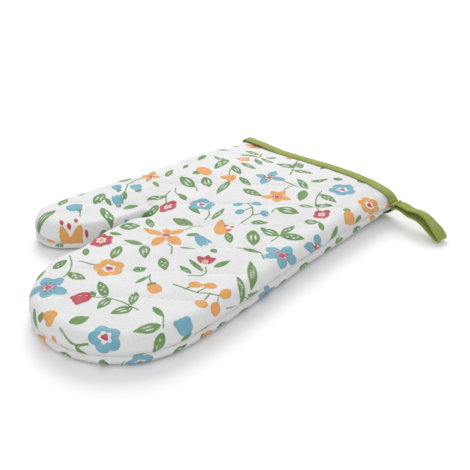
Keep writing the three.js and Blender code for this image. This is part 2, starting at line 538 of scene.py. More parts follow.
class Print:
    """Signed depth of each ink, in millimetres, at a list of flat points."""

    def __init__(self, points):
        self.all = points
        self.inks = {name: np.full(len(points), -9.0) for name in ("green", "blue", "orange", "red")}

    def near(self, centre, reach):
        gap = np.abs(self.all - np.array(centre, float)).max(1)
        return np.nonzero(gap < reach)[0]

    def add(self, ink, where, depth):
        self.inks[ink][where] = np.maximum(self.inks[ink][where], depth)

    def cut(self, ink, where, depth):
        self.inks[ink][where] = np.minimum(self.inks[ink][where], -depth)

    def oval(self, ink, centre, long, wide, angle, cut=False):
        where = self.near(centre, max(long, wide) + 4)
        u, v = spread(self.all[where], centre, angle)
        ring = np.sqrt((2 * u / long) ** 2 + (2 * v / wide) ** 2)
        depth = (1.0 - ring) * min(long, wide) / 2
        (self.cut if cut else self.add)(ink, where, depth)

    def petal(self, ink, root, tip, wide, full=0.62):
        """A teardrop from its narrow root to its round tip."""
        root, tip = np.array(root, float), np.array(tip, float)
        long = np.linalg.norm(tip - root)
        where = self.near((root + tip) / 2, long / 2 + wide + 3)
        angle = math.degrees(math.atan2(tip[1] - root[1], tip[0] - root[0]))
        u, v = spread(self.all[where], root, angle)
        t = np.clip(u / long, 0.0, 1.0)
        half = wide / 2 * (np.sin(math.pi * t ** (0.5 / (1.0 - full) * 0.62)) ** 0.65)
        depth = np.minimum(half - np.abs(v), np.minimum(u, long - u) + 0.2)
        self.add(ink, where, depth)

    def leaf(self, root, tip, wide, flecks=1):
        """A pointed leaf with a pale broken vein down each half."""
        root, tip = np.array(root, float), np.array(tip, float)
        long = np.linalg.norm(tip - root)
        where = self.near((root + tip) / 2, long / 2 + wide + 3)
        angle = math.degrees(math.atan2(tip[1] - root[1], tip[0] - root[0]))
        u, v = spread(self.all[where], root, angle)
        t = np.clip(u / long, 0.0, 1.0)
        half = wide / 2 * np.clip(np.sin(math.pi * t**0.85), 0.0, 1.0) ** 0.8
        depth = np.minimum(half - np.abs(v), np.minimum(u, long - u) * 0.7)
        if flecks and wide > 5.0:
            style = int(abs(root[0] * 3 + tip[1] * 5)) % 3
            if style == 0:
                spots = ((0.34, 0.12, 0.10, 0.07), (0.52, -0.14, 0.08, 0.07), (0.66, 0.13, 0.07, 0.06))
            elif style == 1:
                spots = ((0.44, 0.17, 0.16, 0.06), (0.50, -0.15, 0.17, 0.055))
            else:
                spots = ((0.30, -0.10, 0.05, 0.06), (0.44, 0.14, 0.05, 0.06), (0.56, -0.13, 0.05, 0.06),
                         (0.70, 0.08, 0.045, 0.055))
            for mid, off, half_long, half_wide in spots:
                a = (u - mid * long) / (1.2 * half_long * long)
                b = (v - off * wide) / (1.25 * half_wide * wide)
                depth = np.minimum(depth, (np.hypot(a, b) - 1.0) * half_wide * wide)
        self.add("green", where, depth)

    def stem(self, *knots, wide=1.15):
        """A stem through its knots, drawn as a rounded run."""
        knots = np.array(knots, float)
        if len(knots) == 2:
            line = knots
        else:
            t = np.linspace(0, len(knots) - 1, 6 * len(knots))
            line = np.stack([np.interp(t, range(len(knots)), knots[:, i]) for i in (0, 1)], -1)
            for _ in range(4):
                line[1:-1] = (line[:-2] + 2 * line[1:-1] + line[2:]) / 4
        middle = (line.min(0) + line.max(0)) / 2
        where = self.near(middle, np.ptp(line, axis=0).max() / 2 + 4)
        points = self.all[where]
        best = np.full(len(points), 1e9)
        for a, b in zip(line[:-1], line[1:]):
            run = b - a
            t = np.clip(((points - a) @ run) / max(run @ run, 1e-9), 0, 1)
            best = np.minimum(best, np.linalg.norm(points - a - t[:, None] * run, axis=1))
        self.add("green", where, wide / 2 - best)

    def ring_flower(self, ink, centre, across, turn=0.0, tall=1.0, heart="red", lobes=5):
        """Scalloped bloom with a pale eye and a coloured heart."""
        radius = across / 2
        where = self.near(centre, radius * 1.4 + 3)
        u, v = spread(self.all[where], centre, turn)
        v = v / tall
        r = np.hypot(u, v)
        a = np.arctan2(v, u)
        scallop = 0.74 + 0.24 * np.abs(np.cos(a * lobes / 2)) ** 0.75
        eye = radius * (0.38 + 0.07 * np.cos(a * lobes))
        self.add(ink, where, np.minimum(radius * scallop - r, r - eye) * 0.9)
        self.add(heart, where, radius * (0.21 + 0.04 * np.cos(3 * a + 1.0)) - r)

    def open_flower(self, ink, centre, reach, turn=0.0, petals=5, wide=0.62, uneven=0.12, heart="red"):
        """Separate round petals about a heart with short rays."""
        for k in range(petals):
            a = turn + 360.0 * k / petals + 9.0 * math.sin(2.1 * k)
            far = reach * (1.0 + uneven * math.sin(2.3 * k + turn))
            self.petal(ink, off(centre, 0.18 * reach, a), off(centre, far, a), reach * wide)
        self.oval(heart, centre, reach * 0.32, reach * 0.30, 0)
        where = self.near(centre, reach)
        u, v = spread(self.all[where], centre, turn + 36)
        r = np.hypot(u, v)
        a = np.arctan2(v, u)
        ray = 0.55 * np.cos(a * petals * 2) - 0.15
        self.add(heart, where, np.minimum(ray, reach * 0.40 - r))

    def bud(self, ink, root, tip, wide):
        """A closed bloom on a green cup."""
        root, tip = np.array(root, float), np.array(tip, float)
        run = tip - root
        side = np.array([-run[1], run[0]]) * 0.16
        self.petal(ink, root + run * 0.08, tip - run * 0.04, wide * 0.8)
        self.petal(ink, root + run * 0.10, tip - run * 0.10 + side * 1.5, wide * 0.62)
        self.petal(ink, root + run * 0.10, tip - run * 0.06 - side * 1.5, wide * 0.62)
        self.petal("green", root - run * 0.10, root + run * 0.26, wide * 0.62)

    def tulip(self, ink, root, tip, wide):
        """An upright bloom with a three-lobed lip."""
        root, tip = np.array(root, float), np.array(tip, float)
        run = tip - root
        side = np.array([-run[1], run[0]]) / np.linalg.norm(run)
        angle = math.degrees(math.atan2(side[1], side[0]))
        self.oval(ink, root + run * 0.42, wide, np.linalg.norm(run) * 0.86, angle)
        for k in (-1, 0, 1):
            self.oval(ink, root + run * 0.70 + side * k * wide * 0.31, wide * 0.40, wide * 0.5, 0)
        self.petal("green", root - run * 0.22, root + run * 0.16, wide * 0.5)

    def half_bloom(self, centre, across, turn=0.0):
        """A red bloom seen from the side, open round an orange heart."""
        for a in (-58, -8, 46):
            root = off(centre, -0.10 * across, turn + a)
            self.petal("red", root, off(centre, 0.55 * across, turn + a), across * 0.44)
        heart = off(centre, 0.02 * across, turn)
        self.oval("red", heart, across * 0.34, across * 0.3, turn, cut=True)
        self.oval("orange", heart, across * 0.26, across * 0.22, turn)

    def berries(self, ink, stem, spots, size=6.5):
        """A sprig with a berry on a short stalk at each spot."""
        self.stem(*stem)
        stem = np.array(stem, float)
        for x, y in spots:
            foot = stem[np.abs(stem - np.array([x, y])).sum(1).argmin()]
            self.stem(tuple(foot), (x, y), wide=1.2)
        for k, (x, y) in enumerate(spots):
            self.oval(ink, (x, y), size * 1.15, size * 0.85, 25 + 40 * k)


def each(draw, shapes):
    """Draws every shape in the list with one of the print's brushes."""
    for shape in shapes:
        draw(*shape)


def draw_sprays(p):
    """The scattered folk flowers, leaves and sprigs, in flat millimetres."""
    # thumb
    each(p.stem, (
        ((-91, 2), (-80, -9), (-69, -20)), ((-80, -51), (-72, -57)), ((-91, -84), (-86, -90), (-79, -90)),
        ((-106, -70), (-100, -80), (-92, -88)),
    ))
    each(p.leaf, (
        ((-91, -22), (-81, -38), 9), ((-83, -26), (-72, -28), 3.6, 0), ((-63, -24), (-57, -13), 7, 0),
        ((-74, -36), (-45, -45), 8), ((-80, -10), (-70, -16), 4, 0), ((-83, -50), (-78, -54), 4.5, 0),
        ((-88, -90), (-92, -65), 8), ((-66, -95), (-49, -93), 6), ((-48, -49), (-43, -58), 5, 0),
        ((-46, -64), (-42, -71), 5, 0), ((-103, -48), (-97, -60), 6), ((-108, -66), (-103, -76), 5),
        ((-84, -101), (-72, -103), 6),
    ))
    each(p.petal, (
        ("orange", (-50, -82), (-62, -63), 11), ("orange", (-50, -83), (-72, -74), 9.5),
    ))
    each(p.oval, (
        ("blue", (-86, -52), 11, 13, 20), ("red", (-69, -62.5), 6, 3, -25),
        ("red", (-54, -63.5), 6, 3, -25), ("red", (-68, -69.5), 6, 3, -25),
        ("red", (-74, -72), 6, 3, -25), ("orange", (-51, -86), 5, 3, 30), ("blue", (-44, -31), 7, 4, 40),
        ("blue", (-104, -36), 8, 6, 60),
    ))
    each(p.bud, (
        ("blue", (-68, -24), (-81, -17), 7), ("blue", (-84, -12), (-96, -7), 7),
        ("blue", (-84, -51), (-90, -58), 10),
    ))
    p.ring_flower("orange", (-72, -91), 14, 10, 0.7)
    p.half_bloom((-62, -104), 12, 250)
    # fingers
    each(p.stem, (
        ((4, 0), (-1, -5), (0, -14)), ((8, -36), (14, -37), (20, -43)),
        ((46, -34), (52, -38), (53, -44), (49, -52)), ((86, -26), (91, -38), (89, -50)),
        ((-4, -90), (-9, -93), (-16, -95)), ((30, -69), (34, -73), (40, -76)),
        ((58, -100), (45, -102.5), (34, -107), (27, -113)), ((73, -92), (82, -99)),
        ((-6, -114), (-9, -107), (-17, -100), (-28, -95)),
    ))
    p.stem((38, -146), (48, -148), (54, -147), (60, -141), wide=1.5)
    each(p.leaf, (
        ((-49, -1), (-41, -19), 8.5), ((-36, -20), (-21, -28), 6.5), ((-2, -5), (-22, -8), 8, 0),
        ((18, -34), (26, -25), 3, 0), ((7, -19), (12, -11), 5, 0), ((33, -17), (40, -19), 5, 0),
        ((51, -31), (54, -18), 5), ((50, -39), (33, -38), 4.6, 0), ((48, -48), (35, -48), 5, 0),
        ((85, -25), (62, -7), 7), ((92, -30), (88, -16), 7), ((91, -37), (70, -27), 5.5),
        ((-38, -45), (-28, -33), 11), ((-35, -56), (-26, -51), 4.6, 0), ((-5, -49), (-19, -55), 5.6, 0),
        ((-4, -48), (11, -59), 8), ((18, -50), (33, -58), 7.5), ((-14, -62), (-3, -77), 8),
        ((17, -74), (21, -65), 6, 0), ((-30, -80), (-20, -87), 5), ((32, -83), (31, -71), 4, 0),
        ((96, -91), (93, -82), 4.5, 0), ((41, -89), (51, -101), 6.5), ((61, -91), (75, -93), 4.6, 0),
        ((33, -107), (15, -100), 7), ((36, -106), (40, -119), 7), ((53, -101), (50, -116), 8),
        ((80, -99), (73, -116), 8), ((84.5, -101), (94, -113), 7.5), ((78, -141), (89, -147), 8),
        ((40, -140), (43, -127), 8.5, 0), ((17, -145), (20.5, -151), 5, 0),
        ((46, -156), (52, -159), 4, 0), ((54, -148), (67, -152), 5), ((-9, -109), (7, -105), 7.5),
        ((-21, -113), (-23, -100), 7), ((-27, -116), (-18, -129), 5, 0), ((6, -146), (19, -156), 4.5, 0),
        ((88, -128), (92, -116), 6), ((95, -66), (101, -78), 5.5), ((93, -8), (98, -22), 6),
        ((-35, -138), (-20, -140), 6), ((-14, -151), (-4, -146), 6),
    ))
    each(p.petal, (
        ("orange", (-3, -26), (-1, -14), 8), ("orange", (-5, -27), (-13, -21), 6),
        ("orange", (-5, -31), (-24, -34), 6.5), ("orange", (0, -29), (15, -31), 9),
        ("orange", (-2, -32), (1, -45), 9),
    ))
    each(p.oval, (
        ("red", (-3, -29), 6, 5, 20), ("red", (-1, -24), 3.2, 1.2, 60), ("red", (2, -30), 3.2, 1.2, 60),
        ("red", (-7, -25), 3.2, 1.2, 60), ("orange", (23.5, -143.5), 10, 8, 60),
        ("orange", (27, -146.5), 8, 6.5, -40), ("orange", (37, -154), 6, 4, -30),
        ("orange", (44, -157), 5, 3.4, 10),
    ))
    each(p.tulip, (
        ("blue", (93, -86), (81, -86), 12), ("red", (24, -112.5), (21, -127), 11.5),
    ))
    each(p.bud, (
        ("blue", (10, -13), (28, -16), 8), ("orange", (40, -76), (52, -80), 11),
    ))
    p.berries(
        "orange", ((51, -66), (60, -63), (67, -60), (74, -54), (79, -51)),
        ((67, -48), (60, -54.5), (80, -46), (86, -59), (78, -65)), 8.5,
    )
    each(p.ring_flower, (
        ("red", (-30.5, -66.5), 18, 18, 1.0, "orange", 6), ("orange", (5, -85), 22, 80),
        ("blue", (65, -131), 22.5, 12, 0.88),
    ))
    each(p.open_flower, (
        ("blue", (-3, -128), 14, 20), ("blue", (99, -124), 10, 50),
    ))
    each(p.half_bloom, (
        ((42, -31), 15, 130), ((100, -44), 12, 20),
    ))
    # palm and wrist
    each(p.stem, (
        ((-58, 19), (-54, 11), (-46, 5)), ((-60, 26), (-55, 21), (-45, 18)),
        ((-51, 38), (-46, 36), (-42, 33)), ((-55, 83), (-50, 75), (-44, 69)),
        ((-69, 129), (-62, 121), (-60, 113), (-52, 108)), ((-16, 94), (-4, 96), (14, 101)),
        ((5, 82), (2, 88), (2, 96)), ((-12, 19), (-6, 15), (-2, 7)),
        ((44, -2), (50, 4), (58, 7), (66, 2)), ((50, 36), (51, 30), (52, 23)),
        ((24, 62), (22, 57), (24, 51)), ((23, 107), (29, 94), (36, 86), (44, 81)),
        ((-36, 141), (-28, 129), (-21, 119), (-14, 109)), ((-90, 0), (-92, 12), (-88, 28)),
    ))
    each(p.leaf, (
        ((-60, -3), (-53, 12), 6), ((-36, 17), (-50, 21), 5), ((-78, 18), (-67, 14), 4.4, 0),
        ((-78, 31), (-87, 44), 6), ((-71, 40), (-49, 37), 9), ((-56, 53), (-40, 44), 9),
        ((-37, 63), (-28, 41), 7), ((-56, 84), (-39, 77), 7), ((-36, 73), (-19, 70), 6),
        ((-70, 91), (-62, 69), 9), ((-69, 88), (-84, 87), 6), ((-58, 95), (-40, 95), 7),
        ((-58, 112), (-45, 106), 6), ((-59, 119), (-43, 119), 6), ((-63, 119), (-78, 112), 7),
        ((-67, 125), (-83, 123), 6), ((-60, 126), (-53, 133), 5), ((13, 101), (-5, 108), 6),
        ((-19, 61), (0, 64), 8), ((24, 29), (32, 40), 6), ((-27, 12), (-11, 10), 5),
        ((1, 11), (-6, 30), 5.6), ((23, 7), (36, -2), 6.5), ((34, 22), (49, 8), 10),
        ((47, 0), (59, 7), 4.5), ((51, 33), (66, 43), 9), ((50, 32), (34, 29), 8),
        ((50, 35), (48, 51), 6), ((22, 58), (39, 65), 11), ((26, 102), (45, 100), 7),
        ((36, 85), (46, 95), 5.5), ((29, 74), (38, 83), 6), ((14, 97), (24, 81), 8, 0),
        ((49, 60), (56, 68), 8), ((66, 62), (56, 69), 4.6, 0), ((66, 107), (73, 97), 5),
        ((67, 78), (78, 66), 5), ((7, 111), (12, 127), 5), ((14, 130), (22, 133), 5, 0),
        ((33, 138), (36, 150), 9), ((-7, 137), (-5, 149), 5), ((-31, 134), (-19, 127), 9),
        ((-23, 124), (-41, 119), 9), ((-20, 119), (-4, 126), 8), ((-86, 60), (-82, 52), 4),
        ((-88, 82), (-85, 70), 5), ((-98, 100), (-90, 110), 5), ((-104, 120), (-96, 128), 6),
        ((-100, -2), (-96, 10), 6),
    ))
    each(p.petal, (
        ("green", (-68, 50), (-64, 58), 8), ("orange", (-37, 62), (-42, 73), 7),
        ("orange", (-38, 67), (-48, 63), 7), ("orange", (21, 0), (6, 16), 9),
        ("orange", (20, 0), (21, 13), 6),
    ))
    each(p.oval, (
        ("orange", (-65, 60), 19, 11, -16), ("red", (14, 14), 3.6, 2.6, 50),
        ("red", (19, 15), 3.6, 2.6, 50), ("red", (20.5, 10), 3.6, 2.6, 50), ("orange", (7, 144), 9, 7, 0),
        ("orange", (68, 139), 12, 5, -40), ("orange", (-45, 139), 7, 4, 0), ("blue", (-99, 62), 8, 6, 30),
    ))
    each(p.bud, (
        ("blue", (-73, -1), (-87, 5), 9), ("orange", (56, 99), (72, 90), 10),
    ))
    p.berries("blue", ((0, 48), (9, 45), (17, 38), (20, 23)), ((6, 52), (-3, 41), (7, 33.5), (21, 46)), 7.5)
    each(p.ring_flower, (
        ("red", (-40, 2), 19, 285, 0.72, "orange", 4), ("orange", (-65, 104), 15, 0, 0.72),
        ("blue", (-22, 21), 21, 60, 0.85), ("red", (49, 79), 17, 90, 0.66, "orange", 4),
        ("blue", (33, 120), 22, 15), ("orange", (61, 121), 19.5, 40, 1.0, "red", 6),
    ))
    each(p.open_flower, (
        ("orange", (-87, 22), 9, 30, 4), ("blue", (-21, 92), 13, 115, 4), ("orange", (7, 73), 11, 20),
        ("blue", (70, 16), 14, 105), ("blue", (76, 50), 12, 150, 4), ("orange", (78, 117), 8, 0),
        ("orange", (-88, 139), 8, 60),
    ))
    p.half_bloom((-106, 24), 12, 160)


def draw_wall_sprays(p):
    """What shows on the back panel where it rolls up to the side seam."""
    each(p.stem, (
        ((72, -124), (76, -128), (80, -128)), ((-98, -80), (-92, -86), (-84, -88)),
    ))
    each(p.leaf, (
        ((71, -140), (63, -130), 7), ((90, -98), (94, -86), 7), ((91, -60), (88, -50), 6),
        ((86, -38), (83, -26), 5), ((80, 6), (76, 16), 6), ((78, 30), (74, 42), 7),
        ((73, 60), (72, 70), 5), ((74, 74), (71, 84), 6), ((71, 96), (69, 106), 6),
        ((69, 132), (67, 140), 5), ((50, -149), (40, -151), 6), ((6, -149), (-4, -146), 6),
        ((-16, -138), (-24, -131), 6), ((-40, -96), (-40, -84), 5), ((-38, -70), (-42, -58), 4),
        ((-62, -80), (-70, -86), 6), ((-80, -86), (-92, -85), 6), ((-112, -54), (-110, -42), 5),
        ((-108, -24), (-105, -12), 6), ((-99, 26), (-98, 38), 6), ((-98, 72), (-100, 84), 6),
        ((-101, 98), (-103, 108), 6), ((-106, 138), (-106, 146), 5),
    ))
    p.oval("orange", (70, 120), 7, 6, 10)
    each(p.bud, (
        ("orange", (93, -74), (88, -64), 8), ("blue", (-34, -118), (-38, -106), 8),
        ("orange", (-102, 2), (-100, 14), 8),
    ))
    each(p.ring_flower, (
        ("blue", (82, -118), 20, 30, 0.9), ("orange", (22, -152), 14, 0),
        ("red", (-108, -70), 11, 0, 1.0, "orange"),
    ))
    each(p.open_flower, (
        ("blue", (81, -8), 10, 10), ("blue", (-97, 54), 9, 40),
    ))
    p.half_bloom((-105, 124), 11, 90)


# ---------------------------------------------------------------- meshes


def finished(name, bm, materials):
    """A smooth-shaded object at the origin from a finished bmesh."""
    mesh = bpy.data.meshes.new(name)
    for face in bm.faces:
        face.smooth = True
    bm.to_mesh(mesh)
    bm.free()
    for material in materials:
        mesh.materials.append(material)
    piece = bpy.data.objects.new(name, mesh)
    bpy.context.scene.collection.objects.link(piece)
    return piece


def swept(columns, rows, place):
    """A grid of columns and rows laid on place(u, v), with its meeting edges joined."""
    bm = bmesh.new()
    bmesh.ops.create_grid(bm, x_segments=columns, y_segments=rows, size=0.5)
    for vert in bm.verts:
        u = round((vert.co.x + 0.5) * columns) / columns
        v = round((vert.co.y + 0.5) * rows) / rows
        vert.co = Vector(place(u, v)) * MM
    bmesh.ops.remove_doubles(bm, verts=bm.verts, dist=1e-7)
    return bm


PLAN_LOW_Y = -152.6
PLAN_WIDE = 228.0


def plan_mesh(seam, pitch):
    """The panel's plan as an even grid whose edge lies on the seam."""
    rows = round((CUFF_Y - PLAN_LOW_Y) / pitch)
    columns = round(PLAN_WIDE / pitch)
    bm = bmesh.new()
    bmesh.ops.create_grid(bm, x_segments=columns, y_segments=rows, size=0.5)
    for vert in bm.verts:
        vert.co = Vector((vert.co.x * columns * pitch, CUFF_Y + (vert.co.y - 0.5) * rows * pitch, 0.0))
    centres = np.array([face.calc_center_median()[:2] for face in bm.faces])
    depth = seam.query(centres)[1]
    outside = [face for face, d in zip(bm.faces, depth) if d < 0.0]
    bmesh.ops.delete(bm, geom=outside, context="FACES")
    lonely = [v for v in bm.verts if not v.link_faces]
    bmesh.ops.delete(bm, geom=lonely, context="VERTS")
    edge = [v for v in bm.verts if v.is_boundary]
    foot = seam.query(np.array([v.co[:2] for v in edge]))[0]
    for vert, place in zip(edge, foot):
        on_cuff = vert.co.y > CUFF_Y - 0.01
        if on_cuff and abs(place[0] - vert.co.x) > pitch * 0.8:
            continue
        vert.co.x = place[0]
        vert.co.y = CUFF_Y if on_cuff else min(place[1], CUFF_Y)
    fixed = {v.index for v in edge}
    near = [v for v in bm.verts if v.index not in fixed]
    depth = seam.query(np.array([v.co[:2] for v in near]))[1]
    loose = [v for v, d in zip(near, depth) if d < pitch * 3.5 and v.co.y < CUFF_Y - pitch * 0.5]
    for _ in range(6):
        bmesh.ops.smooth_vert(bm, verts=loose, factor=0.5, use_axis_x=True, use_axis_y=True)
    return bm


def settle(base, faces, pins, sizes):
    """New places of the cotton after it swells under light pressure between its seams and quilting."""
    mesh = bpy.data.meshes.new("cloth_settling")
    mesh.from_pydata([tuple(p * MM) for p in base], [], faces)
    cloth_object = bpy.data.objects.new("cloth_settling", mesh)
    bpy.context.scene.collection.objects.link(cloth_object)
    group = cloth_object.vertex_groups.new(name="pinned")
    for index in np.nonzero(pins > 0.01)[0]:
        group.add([int(index)], float(pins[index]), "REPLACE")
    cloth = cloth_object.modifiers.new("cloth", "CLOTH")
    settings = cloth.settings
    settings.quality = 4
    settings.mass = 0.2
    settings.tension_stiffness = 12.0
    settings.compression_stiffness = 12.0
    settings.shear_stiffness = 4.0
    settings.bending_stiffness = 0.35
    settings.air_damping = 4.0
    settings.use_pressure = True
    settings.uniform_pressure_force = 4.0
    settings.shrink_min = -sizes.fullness
    settings.vertex_group_mass = "pinned"
    settings.effector_weights.gravity = 0.0
    cloth.collision_settings.use_collision = False
    scene = bpy.context.scene
    cloth.point_cache.frame_start = 1
    cloth.point_cache.frame_end = sizes.frames + 1
    for step in range(1, sizes.frames + 1):
        scene.frame_set(step)
    graph = bpy.context.evaluated_depsgraph_get()
    result = cloth_object.evaluated_get(graph).to_mesh()
    moved = np.empty(len(base) * 3, np.float32)
    result.vertices.foreach_get("co", moved)
    moved = moved.reshape(-1, 3).astype(float) / MM
    cloth_object.evaluated_get(graph).to_mesh_clear()
    bpy.data.objects.remove(cloth_object)
    scene.frame_set(1)
    return moved


def section_of(centre):
    """Which body a face belongs to by its middle in the plan: hand, fingers or thumb."""
    if centre[0] > SLIT_TOP[0]:
        return "fingers" if centre[1] < SLIT_TOP[1] else "hand"
    along = (centre[0] - SLIT_TOP[0]) * THUMB_DOWN[0] + (centre[1] - SLIT_TOP[1]) * THUMB_DOWN[1]
    return "thumb" if along > 0.0 else "hand"


def follow(piece, section):
    """Rides the hand, or for the fingers and thumb stays fixed where it was built."""
    if section == "hand":
        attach(piece, "hand")
    elif section == "fingers":
        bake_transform(piece)
    else:
        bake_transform(piece)


class Shape:
    """Everything the later pieces need to know about the finished panels."""

    surface = {}


def panel_places(seam, plan, side, sizes):
    """Outer and inner places and flat pattern places for plan points, for the palm (1) or the back (-1)."""
    foot, depth, inward = seam.query(plan)
    depth = np.maximum(depth, 0.0)
    length, inset, rise = PROFILE
    tight = rim_tightness(foot)
    rolled = np.clip(depth / (RIM * tight), 0.0, 1.0)
    run_in = np.interp(rolled * ROLL, length, inset) * tight
    lift = np.interp(rolled * ROLL, length, rise)
    inner_zone = depth >= RIM * tight
    outer = np.where(inner_zone[:, None], plan, foot + inward * run_in[:, None])
    flat = plan - inward * ((ROLL - RIM) * (1.0 - rolled))[:, None]
    high = palm_rise(outer, depth) if side > 0 else back_drop(outer)
    gap = quilt_gap(flat)
    deep = sizes.quilt_depth / MM
    puff = smooth(depth, 4, 16) * (1.0 if side > 0 else 0.35)
    pull = deep * (np.exp(-((gap / 1.5) ** 2)) * 0.55 + np.exp(-((gap / 5.0) ** 2)) * 0.45) * puff
    wave = ripple(plan, 0.045, 3.1 * side) * 1.3 + ripple(plan, 0.12, 9.7 * side) * 0.5
    edge = np.exp(-((depth - 3.0) / 6.0) ** 2)
    along = ripple(foot, 0.10, 21.0 * side) * 0.9 + ripple(foot, 0.28, 33.0 * side) * 0.35
    soft = smooth(depth, 0, 9)
    quiet = 1.0 - smooth(outer[:, 1], 128, 146)
    amount = 1.0 if side > 0 else 0.25
    seam_level = seam_height(foot) + 0.35 * ripple(foot, 0.05, 50.0)
    reach = high + side * (SEAM_Z - seam_level)
    level = reach * lift - pull * quiet + (wave * soft * quiet) * amount
    outer = outer - inward * (along * edge * quiet * 0.8)[:, None]
    level = np.clip(level, 0.0, 19.0 if side > 0 else seam_level - 0.05)
    level = np.where(depth <= 1e-6, 0.0, level)
    z = seam_level + side * level
    layers = sizes.layers / MM
    pressed = sizes.cuff_layers / MM
    thick = layers + (pressed - layers) * smooth(outer[:, 1], 118, 143)
    t = np.clip(depth / INNER_RIM, 0.0, 1.0)
    near_seam = foot + inward * (INNER_SEAM + (INNER_RIM - INNER_SEAM) * t)[:, None]
    inner_plan = np.where((depth > INNER_RIM)[:, None], plan, near_seam)
    inner_rise = np.maximum(reach - thick, 0.35) * smooth(depth, 0, INNER_RIM)
    inner_z = seam_level + side * (0.25 + inner_rise)
    shut = smooth(outer[:, 1], 120, 150)[:, None]
    near_cuff = foot + inward * np.maximum(depth, 2.2)[:, None]
    inner_plan = inner_plan * (1 - shut) + near_cuff * shut
    outer = np.column_stack([outer, z])
    inner = np.column_stack([inner_plan, inner_z])
    for surface in (outer, inner):
        # the raw edge ends inside the binding's fold
        surface[:, 1] -= EDGE_TUCK * np.maximum(surface[:, 1] - BINDING_INNER_Y, 0.0)
    return outer, inner, np.column_stack([flat, np.zeros(len(flat))]), depth


def back_pattern(flat):
    """The back is cut from the same cloth further along, turned end for end."""
    return np.column_stack([-flat[:, 0] * 0.98 - 6.0, -flat[:, 1] + 9.0])


def add_layer(mesh, name, kind, values):
    layer = mesh.attributes.new(name, kind, "POINT")
    field = "vector" if kind == "FLOAT_VECTOR" else "value"
    layer.data.foreach_set(field, values.astype(np.float32).ravel())


def subdivided(mesh):
    """The same mesh with one step of smooth subdivision."""
    holder = bpy.data.objects.new("holder", mesh)
    bpy.context.scene.collection.objects.link(holder)
    finer = holder.modifiers.new("finer", "SUBSURF")
    finer.levels = 1
    finer.render_levels = 1
    graph = bpy.context.evaluated_depsgraph_get()
    graph.update()
    result = bpy.data.meshes.new_from_object(holder.evaluated_get(graph), depsgraph=graph)
    bpy.data.objects.remove(holder)
    return result


def panel_piece(name, mesh, section, materials):
    """One section of a panel as a closed quilted thickness: printed outside, plain lining inside."""
    bm = bmesh.new()
    bm.from_mesh(mesh)
    other = [face for face in bm.faces if section_of(face.calc_center_median() / MM) != section]
    bmesh.ops.delete(bm, geom=other, context="FACES")
    bmesh.ops.delete(bm, geom=[v for v in bm.verts if not v.link_faces], context="VERTS")
    inner_layer = bm.verts.layers.float_vector["inner"]
    outer_faces = list(bm.faces)
    made = bmesh.ops.extrude_face_region(bm, geom=outer_faces, use_keep_orig=True)["geom"]
    new_verts = {item for item in made if isinstance(item, bmesh.types.BMVert)}
    for vert in new_verts:
        vert.co = vert[inner_layer]
    bmesh.ops.recalc_face_normals(bm, faces=bm.faces)
    for face in bm.faces:
        count = sum(vert in new_verts for vert in face.verts)
        face.material_index = 0 if count == 0 else 1 if count == len(face.verts) else 2
    for edge in bm.edges:
        kinds = {face.material_index for face in edge.link_faces}
        if len(kinds) > 1:
            edge.smooth = False
    piece = finished(name, bm, materials)
    return piece


ALLOWANCES = {
    "hand": ("thumb_side", "crotch", "loop_side"),
    "fingers": ("fingers",),
    "thumb": ("thumb",),
}
SETTLE_MOST = {1: 1.9, -1: 0.9}


